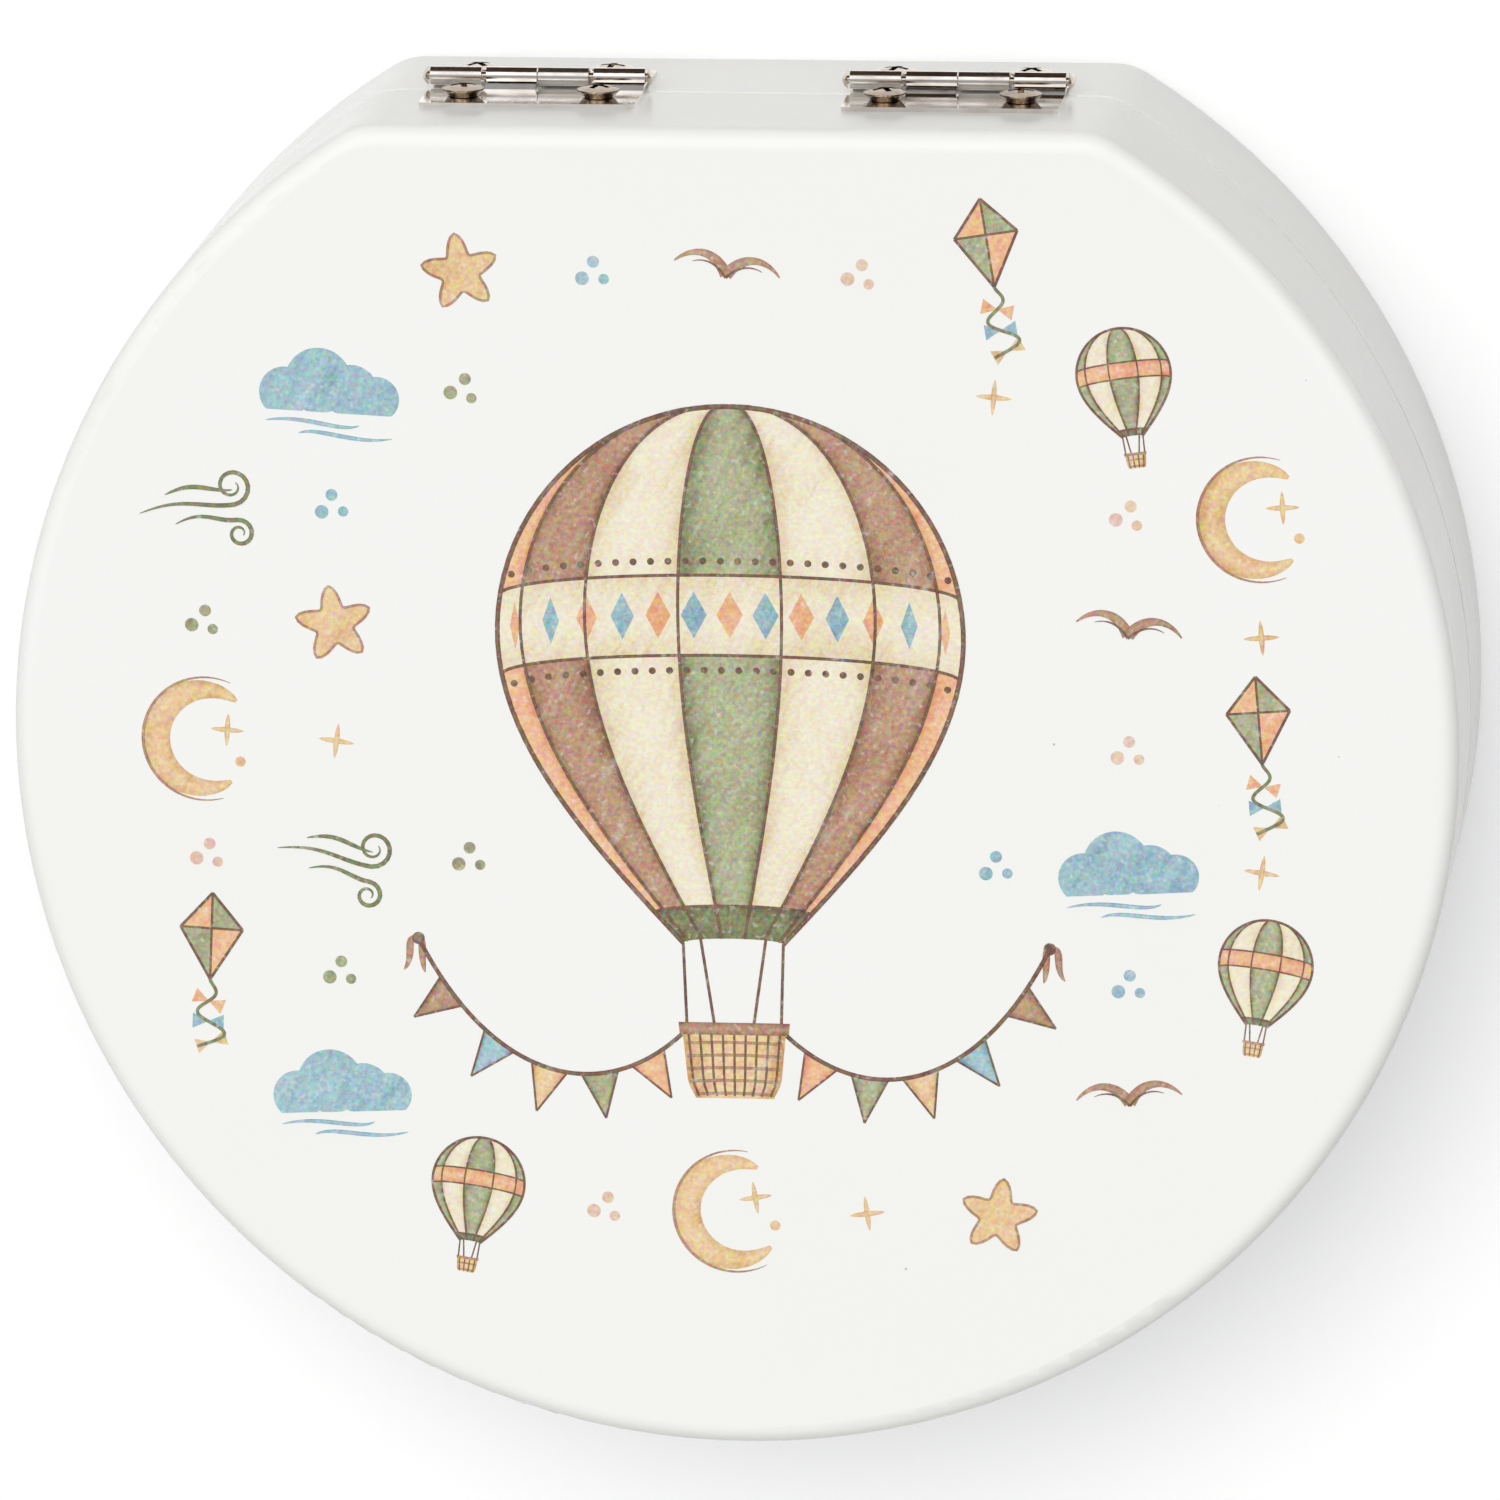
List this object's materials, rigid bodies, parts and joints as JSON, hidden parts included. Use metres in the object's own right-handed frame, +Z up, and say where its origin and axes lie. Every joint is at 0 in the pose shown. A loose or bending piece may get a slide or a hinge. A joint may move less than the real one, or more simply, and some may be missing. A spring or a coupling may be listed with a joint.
{
  "type": "baby tooth box",
  "caption": "Round white lacquered keepsake box with a straight back: a hinged lid closes by magnets over a wooden tray with a felt-bottomed well for each milk tooth.",
  "frame": {"origin": "centre of the round, on the underside of the base", "axes": "+Z up, +Y to the straight back with the hinges, +X to the right seen from the front"},
  "size_m": [0.115, 0.1089, 0.032],
  "materials": {
    "white_lacquer": "white satin lacquer over wood, with a print on the lid",
    "tray_wood": "oiled pale hardwood",
    "felt": "pressed wool felt",
    "hinge_nickel": "bright nickel plate",
    "screw_nickel": "bright nickel plate",
    "magnet_plate": "nickel plate"
  },
  "bodies": {
    "base": {"base_shell": "white_lacquer", "tooth_tray": "tray_wood", "felt_liner": "felt", "left_base_magnet": "magnet_plate", "left_hinge_base_leaf": "hinge_nickel", "left_hinge_pin": "hinge_nickel", "left_hinge_base_screws": "screw_nickel", "right_base_magnet": "magnet_plate", "right_hinge_base_leaf": "hinge_nickel", "right_hinge_pin": "hinge_nickel", "right_hinge_base_screws": "screw_nickel"},
    "lid": {"lid_shell": "white_lacquer", "left_lid_magnet": "magnet_plate", "left_hinge_lid_leaf": "hinge_nickel", "left_hinge_lid_screws": "screw_nickel", "right_lid_magnet": "magnet_plate", "right_hinge_lid_leaf": "hinge_nickel", "right_hinge_lid_screws": "screw_nickel"}
  },
  "joints": [
    {"name": "lid_hinge", "type": "hinge", "parent": "base", "child": "lid", "pos_m": [0, 0.05065, 0.0156], "axis": [-1, 0, 0], "range_deg": [0, 165]}
  ]
}
